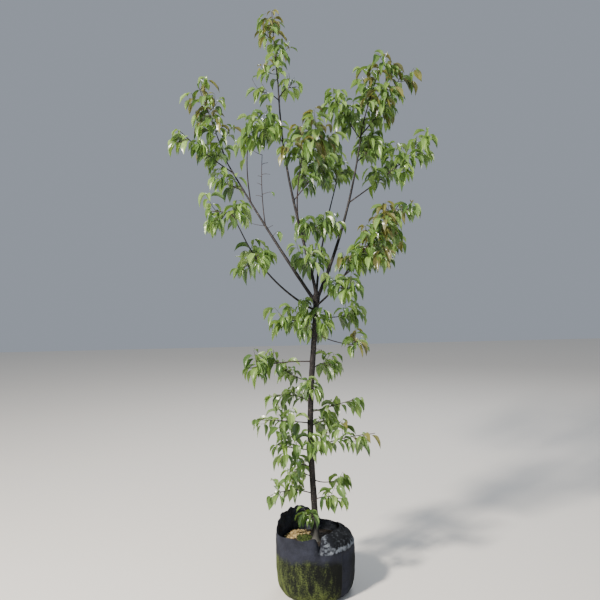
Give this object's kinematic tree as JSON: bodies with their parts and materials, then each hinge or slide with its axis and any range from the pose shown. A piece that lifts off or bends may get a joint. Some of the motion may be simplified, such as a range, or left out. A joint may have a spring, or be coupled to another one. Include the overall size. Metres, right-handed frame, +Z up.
{
  "type": "potted japanese apricot tree",
  "caption": "Young Japanese apricot tree in a filled fabric nursery bag, with a slender leafy trunk that forks into an open vase-shaped crown.",
  "frame": {"origin": "middle of the bag's flat underside, which stands on the ground", "axes": "+Z up the tree, +X to the viewer's right in the front view, +Y away from the viewer"},
  "size_m": [0.9089, 0.681, 1.9724],
  "materials": {
    "bag_felt": "black non-woven polypropylene felt, faded and dusty, with moss and algae near the ground",
    "soil_mix": "dry orange-brown bark mulch on potting mix, with a patch of moss",
    "bark": "smooth grey-brown young bark with fine lenticels, greyer and rougher at the foot",
    "young_bark": "smooth brown to purplish bark of thin boughs and shoots",
    "foliage": "soft bright yellow-green leaves on dark thin twigs, bronze at the youngest tips"
  },
  "bodies": {
    "root": {"bag": "bag_felt", "soil": "soil_mix", "trunk": "bark", "bough_back": "bark", "bough_centre_front": "young_bark", "bough_leader": "bark", "bough_left": "bark", "bough_left_upright": "young_bark", "bough_low_left": "bark", "bough_low_right": "bark", "bough_right": "bark", "foliage_back_crown": "foliage", "foliage_back_middle": "foliage", "foliage_centre_front": "foliage", "foliage_centre_left": "foliage", "foliage_centre_right": "foliage", "foliage_inner_back": "foliage", "foliage_inner_front": "foliage", "foliage_inner_low": "foliage", "foliage_left_crown": "foliage", "foliage_left_inner": "foliage", "foliage_left_outer": "foliage", "foliage_left_under": "foliage", "foliage_low_left_middle": "foliage", "foliage_low_left_tip": "foliage", "foliage_low_left_under": "foliage", "foliage_low_right_back": "foliage", "foliage_low_right_front": "foliage", "foliage_low_right_under": "foliage", "foliage_right_back": "foliage", "foliage_right_crown": "foliage", "foliage_right_inner": "foliage", "foliage_right_low_bough": "foliage", "foliage_right_side": "foliage", "foliage_right_tip": "foliage", "foliage_top": "foliage", "foliage_trunk_01": "foliage", "foliage_trunk_02": "foliage", "foliage_trunk_03": "foliage", "foliage_trunk_04": "foliage", "foliage_trunk_05": "foliage", "foliage_trunk_06": "foliage", "foliage_trunk_07": "foliage", "foliage_trunk_08": "foliage", "foliage_trunk_09": "foliage", "foliage_trunk_10": "foliage", "foliage_trunk_11": "foliage", "foliage_trunk_12": "foliage", "foliage_trunk_13": "foliage", "foliage_trunk_14": "foliage", "foliage_trunk_15": "foliage", "foliage_trunk_16": "foliage", "foliage_trunk_17": "foliage", "foliage_trunk_18": "foliage", "foliage_trunk_19": "foliage", "foliage_trunk_20": "foliage", "foliage_trunk_21": "foliage", "foliage_trunk_22": "foliage", "foliage_upper_left": "foliage", "foliage_upper_right": "foliage"}
  },
  "joints": []
}
